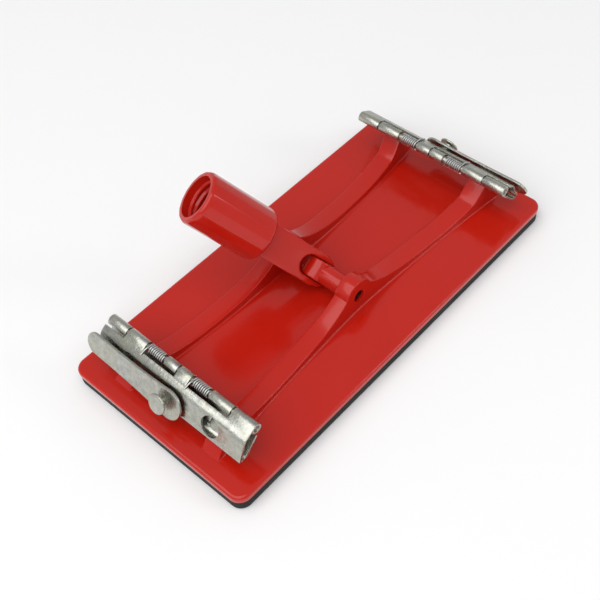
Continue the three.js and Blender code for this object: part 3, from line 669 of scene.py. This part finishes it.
def coil_spring(end, low, high, letter, number):
    """Wire wound round the hinge pin: the angle grows steadily with the place along the pin; at the low end
    the wire leaves the coil at its top and runs down the jaw's roof, pressed on it at its tip."""
    t = np.linspace(0, 1, 420)
    angle = np.pi / 2 + 2 * np.pi * SPRING_TURNS * t
    y = low + SPRING_END_ROOM + (high - low - 2 * SPRING_END_ROOM) * t
    coil = np.column_stack([SPRING_RADIUS * np.cos(angle), y, SPRING_RADIUS * np.sin(angle)])
    (knee_x, knee_z), (tip_x, tip_z) = on_roof(3.2, 1.2), on_roof(3.1, 4.2)
    bends = [coil[0], (knee_x, low + 0.8, knee_z), (tip_x, low + 0.2, tip_z)]
    path = np.concatenate([eased(bends, [1.2], 10)[:0:-1], coil])
    grid, wrap_rows, wrap_columns = swept(path, SPRING_WIRE, np.array([0, 1, 0]))
    points = in_clamp(end)(grid)
    return surface(f"coil_spring_{letter}{number}", [(points, wrap_rows, wrap_columns)])


def hinge_pin(end, letter):
    """Pin with rounded ends inside the end knuckles."""
    place = framed((end * HINGE_X, 0, HINGE_Z), (1, 0, 0), (0, 0, -1), (0, 1, 0))
    return surface("hinge_bar_" + letter, [turned(rod(HINGE_PIN, HALF_HINGE_PIN, 0.5), place, 32)])


# ------------------------------------------------------------------ assembly

place_piece(plate_slab(), "base", ENAMEL, "base_plate")
for side in (-1, 1):
    place_piece(rib(side), "base", ENAMEL, "base_plate")
    end_name = "back" if side > 0 else "front"
    place_piece(axle_pin(side), "swivel", BLACK, "axle_pin_" + end_name)
pad = place_piece(backing_pad(), "base", RUBBER, "backing_pad")
place_piece(swivel_block(), "swivel", ENAMEL, "swivel_block")
place_piece(surface("socket_cast", [pole_barrel(), fork()], 40), "socket", ENAMEL, "handle_socket")
place_piece(fork_pin(), "socket", BLACK, "fork_pin")

for end, letter in ((-1, "a"), (1, "b")):
    jaw, base, turning = "jaw_" + letter, "base", "lever_" + letter
    leaf = rounded_copy("leaf_fixed_" + letter, "clamp_base_" + letter, SHEET_ROUND)
    place_piece(leaf, base, ZINC, "clamp_base_" + letter)
    moving = rounded_copy("leaf_jaw_" + letter, "clamp_jaw_" + letter, SHEET_ROUND)
    place_piece(moving, jaw, ZINC, "clamp_jaw_" + letter)
    place_piece(hinge_pin(end, letter), base, ZINC, "hinge_pin_" + letter)
    place_piece(lever(end, letter), turning, ZINC, "clamp_lever_" + letter)
    place_piece(lever_rivet(end, letter), jaw, ZINC, "lever_rivet_" + letter)
    for number, (low, high) in enumerate(SPRING_STRETCHES, 1):
        spring = coil_spring(end, low, high, letter, number)
        place_piece(spring, jaw, WIRE, f"jaw_spring_{letter}{number}")
        node = f"seat_rivet_{letter}{number}"
        rivet = rounded_copy(f"seat_rivet_round_{letter}{number}", node, RIVET_ROUND)
        place_piece(rivet, base, ZINC, node)


# ------------------------------------------------------------------ stage


def floor():
    """A wide pale floor: a disc, flat out to 1.3 m and then rising with the square of the way further out."""
    flat_reach, clearance = 1.3, 0.0002
    radius = np.concatenate([[0.001, 0.4], np.linspace(flat_reach, 3.4, 24)])[:, None]
    angle = np.linspace(0, 2 * np.pi, 72, endpoint=False)
    height = 0.3 * np.clip(radius - flat_reach, 0, None) ** 2 - clearance
    points = np.stack([radius * np.cos(angle), radius * np.sin(angle), height + 0 * angle], -1) / MM
    made = surface("floor", [(points, False, True)], closed=False)
    f = Finish("floor_paper", Roughness=0.9)
    shade = f.blend(f.noise(3, 2), (0.90, 0.90, 0.90, 1), (0.93, 0.93, 0.93, 1))
    made.data.materials.append(f.use(Base_Color=shade))


def softbox(name, place, size, power):
    """A square lamp at this place, in metres, turned towards the object."""
    lamp = bpy.data.lights.new(name, "AREA")
    lamp.shape, lamp.size, lamp.energy = "SQUARE", size, power
    made = bpy.data.objects.new(name, lamp)
    made.location = place
    made.rotation_euler = (-Vector(place)).to_track_quat("-Z", "Y").to_euler()
    bpy.context.scene.collection.objects.link(made)


def camera():
    """Stands in front of clamp a, looking down at the plate: turned about Z, raised, then rolled."""
    lens = bpy.data.cameras.new("camera")
    lens.lens, lens.sensor_width, lens.clip_start = 60.5, 36, 0.01
    made = bpy.data.objects.new("camera", lens)
    place = (-0.21139, -0.21629, 0.36823)
    azimuth, elevation, roll = -42.56, 50.82, -6.57
    turn = (
        Matrix.Rotation(math.radians(azimuth), 4, "Z")
        @ Matrix.Rotation(math.radians(90 - elevation), 4, "X")
        @ Matrix.Rotation(math.radians(roll), 4, "Z")
    )
    made.matrix_world = Matrix.Translation(place) @ turn
    bpy.context.scene.collection.objects.link(made)
    bpy.context.scene.camera = made


def world():
    """An even white surround, dimmer than the key lamp."""
    made = bpy.data.worlds.new("studio")
    made.use_nodes = True
    background = made.node_tree.nodes["Background"]
    background.inputs["Color"].default_value = (1, 1, 1, 1)
    background.inputs["Strength"].default_value = 0.52
    bpy.context.scene.world = made


floor()
world()
camera()
softbox("key", (-0.7, -0.1, 1.3), 1.8, 18.5)
softbox("fill", (0.55, -0.95, 0.6), 0.3, 1.2)
bpy.context.scene.view_settings.view_transform = "Standard"
